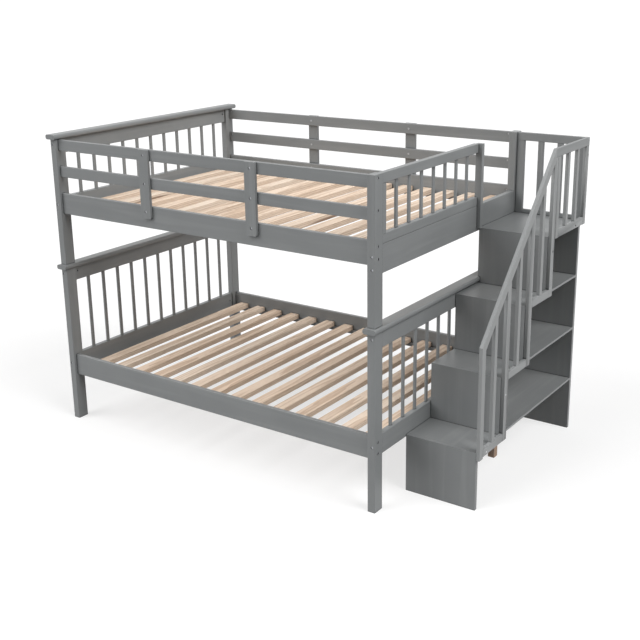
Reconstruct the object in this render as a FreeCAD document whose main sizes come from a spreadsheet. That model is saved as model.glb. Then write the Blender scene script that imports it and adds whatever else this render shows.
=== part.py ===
import FreeCAD, Part
import Sketcher
import os
import re

# A full-over-full bunk bed with a flight of storage stairs at its foot end.
#
# The formulas below use a corner frame: x runs along the bed from the outer faces of the left
# posts, y across it from the near faces of the near posts, and z up from the floor. Every piece is
# then set out from the middle of the whole object on the floor, which is the origin of the part.

SIZES = {
    # the bed as a whole
    "bed_length": 1998,
    "bed_width": 1439,
    # posts and the moulded caps on them
    "post_width": 40,
    "post_depth": 65,
    "lower_post_height": 868,
    "upper_post_height": 677,
    "cap_thickness": 25,
    "cap_end_overhang": 13,
    "cap_side_overhang": 18,
    "cap_nose_radius": 10,
    # rails across the two ends
    "end_rail_thickness": 28,
    "end_rail_recess": 1,
    "low_end_rail_bottom": 277,
    "low_end_rail_height": 99,
    "head_board_lift": 279,
    "foot_board_lift": 238,
    "end_board_top": 369,
    "top_rail_height": 78,
    "end_baluster_width": 20,
    "end_baluster_thickness": 10,
    "end_baluster_setback": 15,
    "end_baluster_count": 11,
    # rails along the two sides
    "side_rail_thickness": 22,
    "side_rail_recess": 16,
    "low_side_rail_bottom": 260,
    "low_side_rail_height": 116,
    "high_side_rail_lift": 279,
    "high_side_rail_height": 111,
    # slats and the ledgers that carry them
    "slat_width": 62,
    "slat_thickness": 28,
    "slat_end_margin": 44,
    "slat_count": 14,
    "slat_end_clearance": 3,
    "low_slat_lift": 55,
    "high_slat_lift": 49,
    "ledger_width": 20,
    "ledger_height": 20,
    # guard rails of the upper bunk
    "guard_rail_thickness": 18,
    "guard_rail_height": 57,
    "mid_guard_lift": 87,
    "top_guard_drop": 3,
    "guard_board_width": 62,
    "guard_board_lap": 61,
    "guard_board_corner": 10,
    "guard_board_shift": 5,
    # guard beside the entry at the foot end
    "end_guard_low_height": 43,
    "end_guard_top_height": 45,
    "end_guard_stile_width": 30,
    "end_guard_baluster_count": 7,
    "entry_opening": 399,
    "entry_post_width": 26,
    "entry_post_thickness": 20,
    "entry_post_tongue": 16,
    "entry_post_lift": 18,
    # stairs
    "stair_width": 366,
    "entry_riser_gap": 2.1,
    "panel_thickness": 21,
    "tread_thickness": 11,
    "step_going": 233.7,
    "first_step_height": 289.5,
    "step_rise": 285.5,
    "platform_back_inset": 32,
    "back_panel_setback": 20,
    "notch_clearance": 2,
    "leg_width": 35,
    "leg_depth": 38,
    "leg_distance": 561,
    # railing along the open side of the stairs
    "railing_thickness": 17,
    "newel_width": 36,
    "newel_drop": 38,
    "stile_width": 40,
    "stile_offset": 3,
    "bay_rail_height": 40,
    "first_bay_rail_drop": 31,
    "bay_rail_drop": 18.5,
    "stair_baluster_width": 28,
    "handrail_foot_height": 795,
    "handrail_depth": 38,
    "handrail_lap": 16,
    "level_rail_height": 42,
    "platform_stile_width": 37,
    "platform_end_stile_width": 34,
    "platform_baluster_width": 25,
    # railing along the back of the platform
    "back_low_rail_height": 21,
    "back_stile_width": 42,
    "back_baluster_width": 30,
    # bolts, nuts and dowels
    "bolt_radius": 3,
    "bolt_head_radius": 6,
    "bolt_head_height": 5,
    "bolt_socket_radius": 2.9,
    "bolt_socket_depth": 3,
    "bolt_clearance": 0.4,
    "bolt_recess": 6,
    "bolt_tail": 8,
    "nut_radius": 5,
    "nut_length": 14,
    "nut_distance": 20,
    "end_bolt_setback": 15,
    "side_bolt_low": 30,
    "side_bolt_high": 86,
    "head_board_bolt": 48,
    "foot_board_bolt_low": 25,
    "foot_board_bolt_high": 83,
    "guard_bolt_drop": 12,
    "top_rail_bolt_drop": 28,
    "sleeve_radius": 4,
    "sleeve_length": 12,
    "sleeve_head_radius": 6,
    "sleeve_head_height": 2,
    "dowel_radius": 5,
    "dowel_low_depth": 20,
    "dowel_high_depth": 30,
    # softened edges
    "frame_edge": 3,
    "panel_edge": 1.5,
    "slat_edge": 2.5,
}

doc = FreeCAD.newDocument("BunkBed")
sheet = doc.addObject("Spreadsheet::Sheet", "Sizes")
for row, (alias, number) in enumerate(SIZES.items(), start=1):
    sheet.set(f"A{row}", alias)
    sheet.set(f"B{row}", str(number))
    sheet.setAlias(f"B{row}", alias)
doc.recompute()

# ---------------------------------------------------------------------------------------------
# Places that several pieces share, as formulas of the sizes above
# ---------------------------------------------------------------------------------------------

MIDDLE = {
    "x": "((bed_length + stair_width + railing_thickness - cap_end_overhang) / 2)",
    "y": "(bed_width / 2)",
}
TURN = {
    "x": FreeCAD.Rotation(FreeCAD.Vector(0, 1, 0), 90),
    "y": FreeCAD.Rotation(FreeCAD.Vector(1, 0, 0), -90),
    "z": FreeCAD.Rotation(),
}
AXES = {
    "x": FreeCAD.Vector(1, 0, 0),
    "y": FreeCAD.Vector(0, 1, 0),
    "z": FreeCAD.Vector(0, 0, 1),
}

UPPER_POST_BOTTOM = "(lower_post_height + cap_thickness)"
POST_TOP = f"({UPPER_POST_BOTTOM} + upper_post_height)"
TOP_GUARD_BOTTOM = f"({POST_TOP} - top_guard_drop - guard_rail_height)"
HIGH_SIDE_BOTTOM = f"({UPPER_POST_BOTTOM} + high_side_rail_lift)"
HIGH_SIDE_TOP = f"({HIGH_SIDE_BOTTOM} + high_side_rail_height)"
MID_GUARD_BOTTOM = f"({HIGH_SIDE_TOP} + mid_guard_lift)"
GUARD_BOARD_BOTTOM = f"({HIGH_SIDE_TOP} - guard_board_lap)"
LOW_SLAT_TOP = "(low_side_rail_bottom + low_slat_lift)"
HIGH_SLAT_TOP = f"({HIGH_SIDE_BOTTOM} + high_slat_lift)"
BETWEEN_POSTS_X = "(bed_length - 2 * post_width)"
BETWEEN_POSTS_Y = "(bed_width - 2 * post_depth)"
HEAD_BOARD_BOTTOM = f"({UPPER_POST_BOTTOM} + head_board_lift)"
FOOT_BOARD_BOTTOM = f"({UPPER_POST_BOTTOM} + foot_board_lift)"
END_BOARD_TOP = f"({UPPER_POST_BOTTOM} + end_board_top)"
GUARD_BOARD_THICKNESS = "side_rail_recess"
ENTRY_POST_FAR = "(bed_width - post_depth - entry_opening)"
END_FACE = "(bed_length - end_rail_recess)"

STAIR_FACE = "(bed_length + stair_width)"
PLATFORM_FRONT = f"({ENTRY_POST_FAR} + entry_riser_gap)"
STAIR_START = f"({PLATFORM_FRONT} - 3 * step_going)"
PLATFORM_TOP = "(first_step_height + 3 * step_rise)"
PLATFORM_BACK = "(bed_width - platform_back_inset)"
BACK_PANEL_FRONT = f"({PLATFORM_BACK} - back_panel_setback - panel_thickness)"
LEVEL_RAIL_BOTTOM = f"({POST_TOP} - level_rail_height)"
HANDRAIL_END = f"({PLATFORM_FRONT} + stile_offset + handrail_lap)"
HANDRAIL_SLOPE = f"(({POST_TOP} - handrail_foot_height) / ({HANDRAIL_END} - {STAIR_START}))"
HANDRAIL_FALL = f"(handrail_depth * sqrt(1 + {HANDRAIL_SLOPE} ^ 2))"


def sized(text):
    """Writes a formula so that the document reads its names from the sheet."""
    def name(word):
        return "Sizes." + word.group() if word.group() in SIZES else word.group()
    return re.sub(r"[a-z_]+", name, text)


def value(text):
    """The number that a formula has now."""
    return float(sheet.evalExpression(sized(text)))


def bind(feature, **formulas):
    """Ties properties of a feature to formulas."""
    for prop, text in formulas.items():
        feature.setExpression(prop, sized(text))


def place(feature, x, y, z, turn="z"):
    """Puts a feature at x, y, z of the corner frame, turned so that its z axis runs along turn."""
    feature.Placement = FreeCAD.Placement(FreeCAD.Vector(), TURN[turn])
    feature.setExpression("Placement.Base.x", sized(f"{x} - {MIDDLE['x']}"))
    feature.setExpression("Placement.Base.y", sized(f"{y} - {MIDDLE['y']}"))
    feature.setExpression("Placement.Base.z", sized(f"{z} + 0"))


def runs_along(edge, axis):
    """Whether a straight edge is parallel to one of the axes."""
    ends = edge.Vertexes
    return abs((ends[1].Point - ends[0].Point).normalize().dot(AXES[axis])) > 0.999


def soften(body, radius, along, only=None):
    """Rounds the edges of a body that run along an axis, or only those that a test picks."""
    doc.recompute()
    sharp = body.Tip
    chosen = [f"Edge{i}" for i, edge in enumerate(sharp.Shape.Edges, start=1)
              if runs_along(edge, along) and (only is None or only(edge.CenterOfMass))]
    rounding = body.newObject("PartDesign::Fillet", "Rounding")
    rounding.Base = (sharp, chosen)
    bind(rounding, Radius=radius)


def cut_block(body, corner, size):
    """Takes a block out of a body."""
    block = body.newObject("PartDesign::SubtractiveBox", "Notch")
    bind(block, Length=size[0], Width=size[1], Height=size[2])
    place(block, *corner)


def cut_bore(body, bore):
    """Takes a round bore out of a body: its axis, the middle of its low end, radius and length."""
    axis, start, radius, length = bore
    hole = body.newObject("PartDesign::SubtractiveCylinder", "Bore")
    bind(hole, Radius=radius, Height=length)
    place(hole, *start, turn=axis)


def board(label, corner, size, along, edge="frame_edge", bores=(), only=None):
    """A board with softened long edges, set out from its low corner, with its bores."""
    body = doc.addObject("PartDesign::Body", label)
    body.Label = label
    block = body.newObject("PartDesign::AdditiveBox", "Board")
    bind(block, Length=size[0], Width=size[1], Height=size[2])
    place(block, *corner)
    soften(body, edge, along, only)
    for bore in bores:
        cut_bore(body, bore)
    return body


def group(label, pieces):
    """Several separate pieces of one kind under one name."""
    together = doc.addObject("Part::Compound", label)
    together.Label = label
    together.Links = pieces
    return together


def opposite(place_of, width, span):
    """The mirror image, across a span, of a piece that starts at place_of."""
    return f"({span} - ({place_of}) - ({width}))"


# ---------------------------------------------------------------------------------------------
# Bolted joints: a bolt through a post into the end of a rail, and a barrel nut across the rail
# ---------------------------------------------------------------------------------------------

class BoltedJoint:
    """One bolt of the frame. It runs along x or y, inwards from the outer face of a post."""

    def __init__(self, axis, at_low_end, line, height, rail_half, opens_up):
        self.axis = axis
        self.at_low_end = at_low_end
        self.line = line
        self.height = height
        self.rail_half = rail_half
        self.opens_up = opens_up
        self.post = "post_width" if axis == "x" else "post_depth"
        self.span = "bed_length" if axis == "x" else "bed_width"

    def point(self, depth, length):
        """The low end of a stretch of the bolt's line that starts at a depth in from the face."""
        if self.at_low_end:
            reach = f"({depth})"
        else:
            reach = f"({self.span} - ({depth}) - ({length}))"
        return (reach, self.line, self.height) if self.axis == "x" else (self.line, reach, self.height)

    def across(self, low, length):
        """The low end of a stretch of the nut's line, measured from the bolt towards the opening."""
        side = f"({self.line} + {low})" if self.opens_up else f"({self.line} - ({low}) - ({length}))"
        depth = f"({self.post} + nut_distance)"
        along = depth if self.at_low_end else f"({self.span} - {depth})"
        return (along, side, self.height) if self.axis == "x" else (side, along, self.height)

    def post_bores(self):
        """The recess for the head and the bore for the shank."""
        return [
            (self.axis, self.point("0", "bolt_recess"), "(bolt_head_radius + bolt_clearance)", "bolt_recess"),
            (self.axis, self.point("0", self.post), "(bolt_radius + bolt_clearance)", self.post),
        ]

    def rail_bores(self):
        """The bore in the end of the rail and the hole for the barrel nut from its inner face."""
        length = "(nut_distance + bolt_tail)"
        nut_hole = f"(nut_length / 2 + {self.rail_half})"
        return [
            (self.axis, self.point(self.post, length), "(bolt_radius + bolt_clearance)", length),
            (self.cross, self.across("(0 - nut_length / 2)", nut_hole),
             "(nut_radius + bolt_clearance)", nut_hole),
        ]

    @property
    def cross(self):
        """The axis that the nut lies along."""
        return "y" if self.axis == "x" else "x"

    def bolt(self, label):
        """The bolt, with its head seated in the recess and its end past the nut."""
        seat = "bolt_recess"
        shank = f"({self.post} - bolt_recess + nut_distance + bolt_tail - bolt_clearance)"
        head = f"({seat} - bolt_head_height)"
        socket = "bolt_socket_depth"
        return turned_bolt(label, self.axis, self.point(seat, shank), shank,
                           self.point(head, "bolt_head_height"), self.point(head, socket))

    def nut(self, label):
        """The barrel nut, with the bolt's hole across it."""
        body = doc.addObject("PartDesign::Body", label)
        barrel = body.newObject("PartDesign::AdditiveCylinder", "Barrel")
        bind(barrel, Radius="nut_radius", Height="nut_length")
        place(barrel, *self.across("(0 - nut_length / 2)", "nut_length"), turn=self.cross)
        reach = "(4 * nut_radius)"
        start = self.point(f"({self.post} + nut_distance - 2 * nut_radius)", reach)
        cut_bore(body, (self.axis, start, "(bolt_radius + bolt_clearance)", reach))
        return body


def turned_bolt(label, axis, shank_start, shank_length, head_start, socket_start):
    """A bolt with a round head and a hexagon socket."""
    body = doc.addObject("PartDesign::Body", label)
    shank = body.newObject("PartDesign::AdditiveCylinder", "Shank")
    bind(shank, Radius="bolt_radius", Height=shank_length)
    place(shank, *shank_start, turn=axis)
    head = body.newObject("PartDesign::AdditiveCylinder", "Head")
    bind(head, Radius="bolt_head_radius", Height="bolt_head_height")
    place(head, *head_start, turn=axis)
    socket = body.newObject("PartDesign::SubtractivePrism", "Socket")
    socket.Polygon = 6
    bind(socket, Circumradius="bolt_socket_radius", Height="bolt_socket_depth")
    place(socket, *socket_start, turn=axis)
    return body


def end_joints(height, ends=("left", "right")):
    """The bolts that hold the rails across the ends at one height, by end and side."""
    lines = {"left": "end_bolt_setback", "right": "(bed_length - end_bolt_setback)"}
    half = "(end_rail_recess + end_rail_thickness - end_bolt_setback)"
    return {(end, side): BoltedJoint("y", side == "near", lines[end], height, half, end == "left")
            for end in ends for side in ("near", "far")}


def side_joints(height, thickness):
    """The bolts that hold the rails along the sides at one height, by end and side."""
    middle = f"(side_rail_recess + {thickness} / 2)"
    lines = {"near": middle, "far": f"(bed_width - {middle})"}
    return {(end, side): BoltedJoint("x", end == "left", lines[side], height, f"({thickness} / 2)",
                                     side == "near")
            for end in ("left", "right") for side in ("near", "far")}


low_end_joints = end_joints("(low_end_rail_bottom + low_end_rail_height / 2)")
low_top_joints = end_joints("(lower_post_height - top_rail_bolt_drop)")
head_board_joints = end_joints(f"({HEAD_BOARD_BOTTOM} + head_board_bolt)", ends=("left",))
foot_board_joints = [end_joints(f"({FOOT_BOARD_BOTTOM} + foot_board_bolt_low)", ends=("right",)),
                     end_joints(f"({FOOT_BOARD_BOTTOM} + foot_board_bolt_high)", ends=("right",))]
head_top_joints = end_joints(f"({POST_TOP} - top_rail_bolt_drop)", ends=("left",))
low_side_joints = [side_joints("(low_side_rail_bottom + side_bolt_low)", "side_rail_thickness"),
                   side_joints("(low_side_rail_bottom + side_bolt_high)", "side_rail_thickness")]
high_side_joints = [side_joints(f"({HIGH_SIDE_BOTTOM} + side_bolt_low)", "side_rail_thickness"),
                    side_joints(f"({HIGH_SIDE_BOTTOM} + side_bolt_high)", "side_rail_thickness")]
mid_guard_joints = side_joints(f"({MID_GUARD_BOTTOM} + guard_rail_height - guard_bolt_drop)",
                               "guard_rail_thickness")
top_guard_joints = side_joints(f"({TOP_GUARD_BOTTOM} + guard_rail_height - guard_bolt_drop)",
                               "guard_rail_thickness")

lower_joints = [low_end_joints, low_top_joints, *low_side_joints]
upper_joints = [head_board_joints, head_top_joints, *foot_board_joints, *high_side_joints,
                mid_guard_joints, top_guard_joints]
ALL_JOINTS = [joint for joints in lower_joints + upper_joints for joint in joints.values()]

nodes = []

# ---------------------------------------------------------------------------------------------
# Posts, caps and the dowels between them
# ---------------------------------------------------------------------------------------------

POST_X = {"left": "0", "right": "(bed_length - post_width)"}
POST_Y = {"near": "0", "far": "(bed_width - post_depth)"}
DOWEL_BORE = "(dowel_radius + bolt_clearance)"


def post(label, end, side, bottom, length, joints, dowel_bottom, dowel_depth):
    """One post, bored for the bolts that pass through it and for its stacking dowel."""
    bores = [bore for level in joints if (end, side) in level for bore in level[end, side].post_bores()]
    middle = (f"({POST_X[end]} + post_width / 2)", f"({POST_Y[side]} + post_depth / 2)", dowel_bottom)
    bores.append(("z", middle, DOWEL_BORE, dowel_depth))
    corner = (POST_X[end], POST_Y[side], bottom)
    return board(label, corner, ("post_width", "post_depth", length), "z", bores=bores)


dowels = []
for end in ("left", "right"):
    for side in ("near", "far"):
        low_dowel = "(lower_post_height - dowel_low_depth)"
        nodes.append(post(f"lower_post_{side}_{end}", end, side, "0", "lower_post_height",
                          lower_joints, low_dowel, "dowel_low_depth"))
        nodes.append(post(f"upper_post_{side}_{end}", end, side, UPPER_POST_BOTTOM, "upper_post_height",
                          upper_joints, UPPER_POST_BOTTOM, "dowel_high_depth"))
        dowel = doc.addObject("Part::Cylinder", f"stacking_dowel_{side}_{end}")
        bind(dowel, Radius="dowel_radius", Height="dowel_low_depth + cap_thickness + dowel_high_depth")
        place(dowel, f"({POST_X[end]} + post_width / 2)", f"({POST_Y[side]} + post_depth / 2)", low_dowel)
        dowels.append(dowel)
nodes.append(group("stacking_dowels", dowels))

CAP_SIZE = ("(post_width + 2 * cap_end_overhang)", "(bed_width + 2 * cap_side_overhang)", "cap_thickness")


def cap(label, end, bottom, bored):
    """The moulded cap across one end of the bed, with round noses along both edges."""
    corner = (f"({POST_X[end]} - cap_end_overhang)", "(0 - cap_side_overhang)", bottom)
    bores = [("z", (f"({POST_X[end]} + post_width / 2)", f"({POST_Y[side]} + post_depth / 2)", bottom),
              DOWEL_BORE, "cap_thickness") for side in ("near", "far") if bored]
    return board(label, corner, CAP_SIZE, "y", edge="cap_nose_radius", bores=bores)


nodes.append(cap("lower_cap_head", "left", "lower_post_height", bored=True))
nodes.append(cap("lower_cap_foot", "right", "lower_post_height", bored=True))
nodes.append(cap("upper_cap_head", "left", POST_TOP, bored=False))

# ---------------------------------------------------------------------------------------------
# Head and foot panels
# ---------------------------------------------------------------------------------------------

END_RAIL_X = {"left": "end_rail_recess", "right": f"({END_FACE} - end_rail_thickness)"}
END_NAME = {"left": "head", "right": "foot"}


def end_rail(label, end, bottom, height, joints):
    """A rail across one end of the bed, between its two posts."""
    bores = [bore for level in joints for side in ("near", "far")
             for bore in level[end, side].rail_bores()]
    corner = (END_RAIL_X[end], "post_depth", bottom)
    return board(label, corner, ("end_rail_thickness", BETWEEN_POSTS_Y, height), "y", bores=bores)


def end_balusters(label, end, bottom, top, count, first_middle, pitch):
    """A row of upright bars in one end of the bed, from one rail up to the next."""
    inset = "end_baluster_setback"
    x = {"left": inset, "right": opposite(inset, "end_baluster_thickness", "bed_length")}[end]
    bars = []
    for i in range(count):
        corner = (x, f"({first_middle} + {i} * {pitch} - end_baluster_width / 2)", bottom)
        size = ("end_baluster_thickness", "end_baluster_width", f"({top} - {bottom})")
        bars.append(board(f"{label}_{i + 1}", corner, size, "z", edge="slat_edge"))
    return group(label, bars)


LOW_TOP_RAIL = "(lower_post_height - top_rail_height)"
HIGH_TOP_RAIL = f"({POST_TOP} - top_rail_height)"
LOW_END_RAIL_TOP = "(low_end_rail_bottom + low_end_rail_height)"
BAR_GAP = f"(({BETWEEN_POSTS_Y} - end_baluster_count * end_baluster_width) / (end_baluster_count + 1))"
BAR_PITCH = f"({BAR_GAP} + end_baluster_width)"
FIRST_BAR = f"(post_depth + {BAR_GAP} + end_baluster_width / 2)"
BAR_COUNT = int(value("end_baluster_count"))

for end in ("left", "right"):
    name = END_NAME[end]
    nodes.append(end_rail(f"lower_{name}_bottom_rail", end, "low_end_rail_bottom",
                          "low_end_rail_height", [low_end_joints]))
    nodes.append(end_rail(f"lower_{name}_top_rail", end, LOW_TOP_RAIL, "top_rail_height",
                          [low_top_joints]))
    nodes.append(end_balusters(f"lower_{name}_balusters", end, LOW_END_RAIL_TOP, LOW_TOP_RAIL,
                               BAR_COUNT, FIRST_BAR, BAR_PITCH))
nodes.append(end_rail("upper_head_board", "left", HEAD_BOARD_BOTTOM,
                      f"({END_BOARD_TOP} - {HEAD_BOARD_BOTTOM})", [head_board_joints]))
nodes.append(end_rail("upper_foot_board", "right", FOOT_BOARD_BOTTOM,
                      f"({END_BOARD_TOP} - {FOOT_BOARD_BOTTOM})", foot_board_joints))
nodes.append(end_rail("upper_head_top_rail", "left", HIGH_TOP_RAIL, "top_rail_height",
                      [head_top_joints]))
nodes.append(end_balusters("upper_head_balusters", "left", END_BOARD_TOP, HIGH_TOP_RAIL,
                           BAR_COUNT, FIRST_BAR, BAR_PITCH))

# ---------------------------------------------------------------------------------------------
# Side rails, slats and ledgers
# ---------------------------------------------------------------------------------------------

GUARD_BOARD_MIDDLES = {
    side: [f"({i} * bed_length / 3 {shift} guard_board_shift)" for i in (1, 2)]
    for side, shift in (("near", "-"), ("far", "+"))
}
GUARD_BOLT_HEIGHTS = {
    "side": f"({HIGH_SIDE_BOTTOM} + side_bolt_high)",
    "mid": f"({MID_GUARD_BOTTOM} + guard_rail_height / 2)",
    "top": f"({TOP_GUARD_BOTTOM} + guard_rail_height / 2)",
}


class SleeveJoint:
    """A bolt through a guard board and a rail, with a sleeve nut from the rail's inner face."""

    def __init__(self, side, middle, height, rail_thickness):
        self.side = side
        self.middle = middle
        self.height = height
        self.through = f"({GUARD_BOARD_THICKNESS} + {rail_thickness})"

    def point(self, depth, length):
        """The low end of a stretch that starts at a depth in from the board's outer face."""
        y = f"({depth})" if self.side == "near" else f"(bed_width - ({depth}) - ({length}))"
        return (self.middle, y, self.height)

    def board_bores(self):
        """The recess and the bore in the guard board."""
        return [
            ("y", self.point("0", "bolt_recess"), "(bolt_head_radius + bolt_clearance)", "bolt_recess"),
            ("y", self.point("0", GUARD_BOARD_THICKNESS), "(sleeve_radius + bolt_clearance)",
             GUARD_BOARD_THICKNESS),
        ]

    def rail_bores(self):
        """The bore in the rail."""
        length = f"({self.through} - {GUARD_BOARD_THICKNESS})"
        return [("y", self.point(GUARD_BOARD_THICKNESS, length), "(sleeve_radius + bolt_clearance)", length)]

    def bolt(self, label):
        """The bolt, from its seat to the end of the sleeve."""
        shank = f"({self.through} - bolt_recess - sleeve_length)"
        head = "(bolt_recess - bolt_head_height)"
        return turned_bolt(label, "y", self.point("bolt_recess", shank), shank,
                           self.point(head, "bolt_head_height"), self.point(head, "bolt_socket_depth"))

    def sleeve(self, label):
        """The sleeve nut, with its flat head on the rail's inner face."""
        body = doc.addObject("PartDesign::Body", label)
        barrel = body.newObject("PartDesign::AdditiveCylinder", "Barrel")
        bind(barrel, Radius="sleeve_radius", Height="sleeve_length")
        start = f"({self.through} - sleeve_length)"
        place(barrel, *self.point(start, "sleeve_length"), turn="y")
        head = body.newObject("PartDesign::AdditiveCylinder", "Head")
        bind(head, Radius="sleeve_head_radius", Height="sleeve_head_height")
        place(head, *self.point(self.through, "sleeve_head_height"), turn="y")
        return body


def sleeve_joints(side, level, thickness):
    """The two bolts of the guard boards through one rail."""
    return [SleeveJoint(side, middle, GUARD_BOLT_HEIGHTS[level], thickness)
            for middle in GUARD_BOARD_MIDDLES[side]]


def side_rail(label, side, bottom, height, thickness, joints, sleeves=()):
    """A rail along one side of the bed, between its two posts."""
    bores = [bore for level in joints for end in ("left", "right")
             for bore in level[end, side].rail_bores()]
    bores += [bore for joint in sleeves for bore in joint.rail_bores()]
    y = {"near": "side_rail_recess", "far": opposite("side_rail_recess", thickness, "bed_width")}[side]
    size = (BETWEEN_POSTS_X, thickness, height)
    return board(label, ("post_width", y, bottom), size, "x", bores=bores)


def guard_boards(side, sleeves):
    """The two upright boards that tie the guard rails of one side to its side rail."""
    thickness = GUARD_BOARD_THICKNESS
    y = {"near": "0", "far": f"(bed_width - {thickness})"}[side]
    height = f"({POST_TOP} - top_guard_drop - {GUARD_BOARD_BOTTOM})"
    middle_height = value(f"{GUARD_BOARD_BOTTOM} + {height} / 2")
    boards = []
    for middle in GUARD_BOARD_MIDDLES[side]:
        bores = [bore for joint in sleeves if joint.middle == middle for bore in joint.board_bores()]
        corner = (f"({middle} - guard_board_width / 2)", y, GUARD_BOARD_BOTTOM)
        size = ("guard_board_width", thickness, height)
        boards.append(board(f"{side}_guard_board_{len(boards) + 1}", corner, size, "y",
                            edge="guard_board_corner", bores=bores,
                            only=lambda centre: centre.z < middle_height))
    return group(f"{side}_guard_boards", boards)


all_sleeves = []
for side in ("near", "far"):
    at_side = sleeve_joints(side, "side", "side_rail_thickness")
    at_mid = sleeve_joints(side, "mid", "guard_rail_thickness")
    at_top = sleeve_joints(side, "top", "guard_rail_thickness")
    all_sleeves += at_side + at_mid + at_top
    nodes.append(side_rail(f"lower_side_rail_{side}", side, "low_side_rail_bottom",
                           "low_side_rail_height", "side_rail_thickness", low_side_joints))
    nodes.append(side_rail(f"upper_side_rail_{side}", side, HIGH_SIDE_BOTTOM,
                           "high_side_rail_height", "side_rail_thickness", high_side_joints, at_side))
    nodes.append(side_rail(f"middle_guard_rail_{side}", side, MID_GUARD_BOTTOM,
                           "guard_rail_height", "guard_rail_thickness", [mid_guard_joints], at_mid))
    nodes.append(side_rail(f"top_guard_rail_{side}", side, TOP_GUARD_BOTTOM,
                           "guard_rail_height", "guard_rail_thickness", [top_guard_joints], at_top))
    nodes.append(guard_boards(side, at_side + at_mid + at_top))

RAIL_INNER = "(side_rail_recess + side_rail_thickness)"
FIRST_SLAT = "(post_width + slat_end_margin)"
SLAT_PITCH = f"((bed_length - 2 * {FIRST_SLAT} - slat_width) / (slat_count - 1))"


def slats(label, top):
    """The slats of one bunk, lying across it on the ledgers."""
    y = f"({RAIL_INNER} + slat_end_clearance)"
    size = ("slat_width", f"(bed_width - 2 * {y})", "slat_thickness")
    return group(label, [board(f"{label}_{i + 1}", (f"({FIRST_SLAT} + {i} * {SLAT_PITCH})", y,
                                                    f"({top} - slat_thickness)"),
                               size, "y", edge="slat_edge")
                         for i in range(int(value("slat_count")))])


def ledger(label, side, slat_top):
    """The strip inside one side rail that the slats lie on."""
    y = {"near": RAIL_INNER, "far": opposite(RAIL_INNER, "ledger_width", "bed_width")}[side]
    corner = ("post_width", y, f"({slat_top} - slat_thickness - ledger_height)")
    return board(label, corner, (BETWEEN_POSTS_X, "ledger_width", "ledger_height"), "x",
                 edge="panel_edge")


nodes.append(slats("lower_slats", LOW_SLAT_TOP))
nodes.append(slats("upper_slats", HIGH_SLAT_TOP))
nodes.append(group("slat_ledgers", [
    ledger(f"{level}_ledger_{side}", side, top)
    for level, top in (("lower", LOW_SLAT_TOP), ("upper", HIGH_SLAT_TOP))
    for side in ("near", "far")]))

# ---------------------------------------------------------------------------------------------
# Guard beside the entry, across the foot end of the upper bunk
# ---------------------------------------------------------------------------------------------

END_GUARD_LOW_TOP = f"({END_BOARD_TOP} + end_guard_low_height)"
END_GUARD_HIGH = f"({POST_TOP} - end_guard_top_height)"
END_GUARD_BARS_START = "(post_depth + end_guard_stile_width)"
END_GUARD_PITCH = f"(({ENTRY_POST_FAR} - {END_GUARD_BARS_START}) / (end_guard_baluster_count + 1))"
ENTRY_POST_NEAR = f"({ENTRY_POST_FAR} - entry_post_width)"
ENTRY_POST_BOTTOM = f"({FOOT_BOARD_BOTTOM} + entry_post_lift)"


def end_guard_rail(label, bottom, height):
    """A rail from the near post to the entry post."""
    size = ("end_rail_thickness", f"({ENTRY_POST_NEAR} - post_depth)", height)
    return board(label, (END_RAIL_X["right"], "post_depth", bottom), size, "y")


nodes.append(group("entry_guard_rails", [
    end_guard_rail("entry_guard_bottom_rail", END_BOARD_TOP, "end_guard_low_height"),
    end_guard_rail("entry_guard_top_rail", END_GUARD_HIGH, "end_guard_top_height")]))
nodes.append(board("entry_guard_stile", (END_RAIL_X["right"], "post_depth", END_GUARD_LOW_TOP),
                   ("end_rail_thickness", "end_guard_stile_width",
                    f"({END_GUARD_HIGH} - {END_GUARD_LOW_TOP})"), "z"))
nodes.append(end_balusters("entry_guard_balusters", "right", END_GUARD_LOW_TOP, END_GUARD_HIGH,
                           int(value("end_guard_baluster_count")),
                           f"({END_GUARD_BARS_START} + {END_GUARD_PITCH})", END_GUARD_PITCH))

# The entry post laps over the face of the end board, and above it a tongue stands between the rails
entry_post_corner = (f"({END_FACE} - entry_post_tongue)", ENTRY_POST_NEAR, ENTRY_POST_BOTTOM)
entry_post = board("entry_post", entry_post_corner,
                   ("(entry_post_thickness + entry_post_tongue)", "entry_post_width",
                    f"({POST_TOP} - {ENTRY_POST_BOTTOM})"), "z")
cut_block(entry_post, entry_post_corner,
          ("entry_post_tongue", "entry_post_width", f"({END_BOARD_TOP} - {ENTRY_POST_BOTTOM})"))
nodes.append(entry_post)

# ---------------------------------------------------------------------------------------------
# Stairs: risers, treads that run on as shelves, platform, back panel and middle leg
# ---------------------------------------------------------------------------------------------

CAP_EDGE = "(cap_end_overhang + notch_clearance)"


def notch_for_cap(body, y):
    """Takes out the corner where the bed's lower cap passes through a panel of the stairs."""
    corner = ("(bed_length - notch_clearance)", f"({y} - notch_clearance)",
              "(lower_post_height - notch_clearance)")
    cut_block(body, corner, (f"({CAP_EDGE} + notch_clearance)", "(panel_thickness + 2 * notch_clearance)",
                             "(cap_thickness + 2 * notch_clearance)"))
    return body


def step_front(number):
    """Where the riser of a step stands, counted from 0."""
    return f"({STAIR_START} + {number} * step_going)"


def step_top(number):
    """How high a step is, counted from 0."""
    return f"(first_step_height + {number} * step_rise)"


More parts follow.
